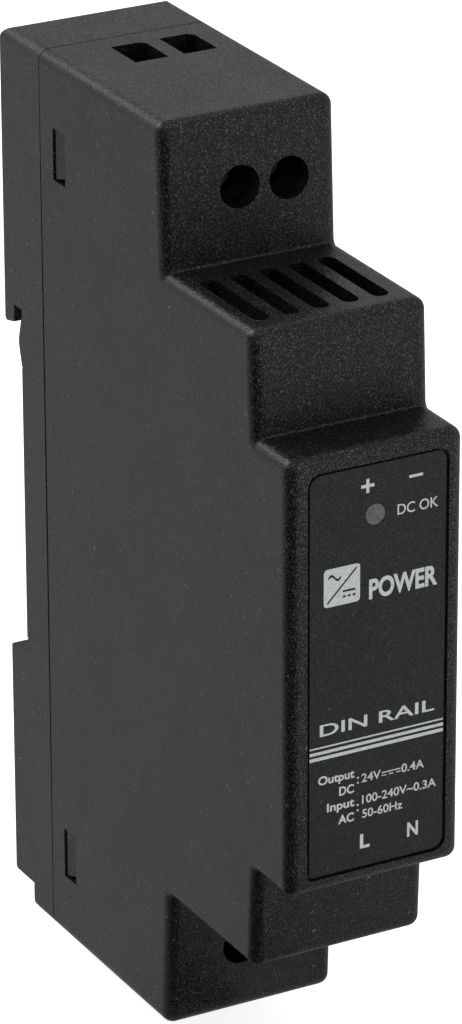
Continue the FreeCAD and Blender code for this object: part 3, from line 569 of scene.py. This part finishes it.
def build_spring():
    """Wire coil in the latch's pocket."""
    low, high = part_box("latch_spring")
    middle = (low + high) / 2
    curve = bpy.data.curves.new("spring_wire", "CURVE")
    curve.dimensions = "3D"
    curve.bevel_depth = WIRE_RADIUS
    curve.bevel_resolution = 4
    curve.use_fill_caps = True
    points = coil_points(low.z, high.z, (high.x - low.x) / 2 - WIRE_RADIUS)
    spline = curve.splines.new("POLY")
    spline.points.add(len(points) - 1)
    for point, (x, y, z) in zip(spline.points, points):
        point.co = (x + middle.x, y + middle.y, z, 1)
    mesh = as_mesh("latch_spring_coil", curve)
    for face in mesh.polygons:
        face.use_smooth = True
    mesh.materials.clear()
    mesh.materials.append(FINISHES["spring_steel"])
    coil = bpy.data.objects.new("latch_spring_coil", mesh)
    bpy.context.scene.collection.objects.link(coil)
    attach(coil, "case")
    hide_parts("latch_spring")
    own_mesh(coil)


# ---- stage --------------------------------------------------------------------------
FLOOR_HALF = 6.0
FLOOR_GLOW = 0.80
FLOOR_GAP = 0.2 * MM                 # below the case, beyond the rail latch's travel
SHADE_HALF = 1.0
SHADE_GAP = 0.3 * MM                 # between the case and the card below it

SHADE_CENTRE = (0.009, -0.042)       # painted shadow of the case under its overhang: the reflection darkens towards this place
SHADE_RANGE = (0.010, 0.036)         # distances from it between which the room comes back
SHADE_SHARE = 0.75                   # of the room's brightness, at the centre
CASE_MIDDLE = (0.0, -0.030)
FRONT_LEFT = (-0.69, -0.72, 0)
FRONT_LEFT_RANGE = (0.42, 0.88)      # cosines from that direction between which it goes black


def stage_plane(name, half, z):
    mesh = bpy.data.meshes.new(name)
    corners = [(-half, -half, z), (half, -half, z), (half, half, z), (-half, half, z)]
    mesh.from_pydata(corners, [], [(0, 1, 2, 3)])
    plane = bpy.data.objects.new(name, mesh)
    bpy.context.scene.collection.objects.link(plane)
    return plane


def build_floor(z):
    """White ground that the camera sees and that lights the object, but that no gloss shows."""
    floor = stage_plane("floor", FLOOR_HALF, z)
    shader = Shader("pale_floor")
    shader.drive("Base Color", shader.mix(shader.noise(40.0), (0.9, 0.9, 0.9), (0.93, 0.93, 0.93)))
    shader.set(Roughness=0.8, Emission_Color=(1, 1, 1, 1), Emission_Strength=FLOOR_GLOW)
    floor.data.materials.append(shader.material)
    floor.visible_glossy = False


def build_shade(z):
    """Glowing card that only gloss sees, standing in for the floor: painted shadow of the case close in front and
    painted shade away to the front left.
    """
    shade_card = stage_plane("floor_shade", SHADE_HALF, z)
    shader = Shader("floor_shade")
    distance = shader.vector("DISTANCE", shader.position, (*SHADE_CENTRE, z))["Value"]
    # Painted shadow of the case on the floor, under its overhang.
    near = shader.levels(distance, *SHADE_RANGE, SHADE_SHARE * ROOM, ROOM)
    # Painted shade on the floor away to the front left.
    away = shader.vector("SUBTRACT", shader.position, (*CASE_MIDDLE, z))["Vector"]
    heading = shader.vector("NORMALIZE", away)["Vector"]
    front_left = shader.vector("DOT_PRODUCT", heading, FRONT_LEFT)["Value"]
    painted_front_left_shade = shader.levels(front_left, *FRONT_LEFT_RANGE, 1.0, 0.0)
    shader.drive("Emission Strength", shader.math("MULTIPLY", near, painted_front_left_shade))
    shader.set(Base_Color=(0, 0, 0, 1), Emission_Color=ROOM_TINT, Specular_IOR_Level=0.0)
    shade_card.data.materials.append(shader.material)
    shade_card.visible_camera = False
    shade_card.visible_diffuse = False
    shade_card.visible_shadow = False


def build_stage():
    """The floor lies low enough for the rail latch to clear it when it is pulled down."""
    case_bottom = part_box("front_housing")[0].z
    build_floor(case_bottom - FLOOR_GAP - joint_travel("latch_slide"))
    build_shade(case_bottom - SHADE_GAP)


# ---- world, light, camera -----------------------------------------------------------
DARK_SIDE = (-0.82, -0.50, -0.30)
DARK_RANGE = (0.30, 0.92)            # cosines from that direction between which it goes black
BRIGHT_SIDE = (-0.40, 0.75, 0.55)
BRIGHT_RANGE = (0.75, 1.0)

KEY_PLACE = Vector((-0.45, 0.55, 0.75))
KEY_TARGET = Vector((0, -0.02, 0))
KEY_SIZE = 0.5
KEY_POWER = 4

VIEW_AZIMUTH = math.radians(-28.54)
VIEW_ELEVATION = math.radians(23.29)
VIEW_ROLL = math.radians(-0.18)
VIEW_DISTANCE = 0.5273
VIEW_TARGET = Vector((0, -0.0252, 0))
VIEW_RIGHT, VIEW_UP = 0.58 * MM, 4.6 * MM     # the camera's own step aside
VIEW_LENS = 198.5
VIEW_SHIFT = (-0.0064, -0.0015)
VIEW_GAMMA = 0.93


def build_world():
    """Even white room, darker in front on the left, brighter behind and above."""
    world = bpy.data.worlds.new("studio")
    world.use_nodes = True
    tree = world.node_tree
    direction = tree.nodes.new("ShaderNodeTexCoord").outputs["Generated"]

    def toward(axis, start, end, low, high):
        """Goes from low to high as the cosine between direction and axis goes from start to end."""
        dot = tree.nodes.new("ShaderNodeVectorMath")
        dot.operation = "DOT_PRODUCT"
        dot.inputs[1].default_value = Vector(axis).normalized()
        tree.links.new(direction, dot.inputs[0])
        ramp = tree.nodes.new("ShaderNodeMapRange")
        ramp.interpolation_type = "SMOOTHSTEP"
        ends = {"From Min": start, "From Max": end, "To Min": low, "To Max": high}
        for name, value in ends.items():
            ramp.inputs[name].default_value = value
        tree.links.new(dot.outputs["Value"], ramp.inputs["Value"])
        return ramp.outputs["Result"]

    dark = toward(DARK_SIDE, *DARK_RANGE, 1.0, 0.0)
    glow = toward(BRIGHT_SIDE, *BRIGHT_RANGE, 0.0, ROOM_GLOW)
    total = tree.nodes.new("ShaderNodeMath")
    total.operation = "MULTIPLY_ADD"
    tree.links.new(dark, total.inputs[0])
    total.inputs[1].default_value = ROOM
    tree.links.new(glow, total.inputs[2])
    background = tree.nodes["Background"]
    background.inputs["Color"].default_value = ROOM_TINT
    tree.links.new(total.outputs["Value"], background.inputs["Strength"])
    bpy.context.scene.world = world


def build_key_light():
    lamp = bpy.data.lights.new("key", "AREA")
    lamp.shape = "SQUARE"
    lamp.size = KEY_SIZE
    lamp.energy = KEY_POWER
    holder = bpy.data.objects.new("key", lamp)
    bpy.context.scene.collection.objects.link(holder)
    holder.location = KEY_PLACE
    holder.rotation_mode = "QUATERNION"
    holder.rotation_quaternion = (KEY_TARGET - KEY_PLACE).to_track_quat("-Z", "Y")


def build_camera():
    back = Vector((math.sin(VIEW_AZIMUTH) * math.cos(VIEW_ELEVATION),
                   -math.cos(VIEW_AZIMUTH) * math.cos(VIEW_ELEVATION),
                   math.sin(VIEW_ELEVATION)))
    right = Vector((math.cos(VIEW_AZIMUTH), math.sin(VIEW_AZIMUTH), 0))
    up = back.cross(right)
    data = bpy.data.cameras.new("camera")
    data.lens = VIEW_LENS
    data.sensor_width = 36
    data.shift_x, data.shift_y = VIEW_SHIFT
    data.clip_start = 0.01
    camera = bpy.data.objects.new("camera", data)
    bpy.context.scene.collection.objects.link(camera)
    place = VIEW_TARGET + back * VIEW_DISTANCE + right * VIEW_RIGHT + up * VIEW_UP
    turn = Matrix((right, up, back)).transposed().to_4x4()
    roll = Matrix.Rotation(VIEW_ROLL, 4, "Z")
    camera.matrix_world = Matrix.Translation(place) @ turn @ roll
    bpy.context.scene.camera = camera


def build_view():
    bpy.context.scene.view_settings.view_transform = "Standard"
    bpy.context.scene.view_settings.look = "None"
    bpy.context.scene.view_settings.gamma = VIEW_GAMMA


dress_nodes()
print_label()
build_spring()
build_stage()
build_world()
build_key_light()
build_camera()
build_view()
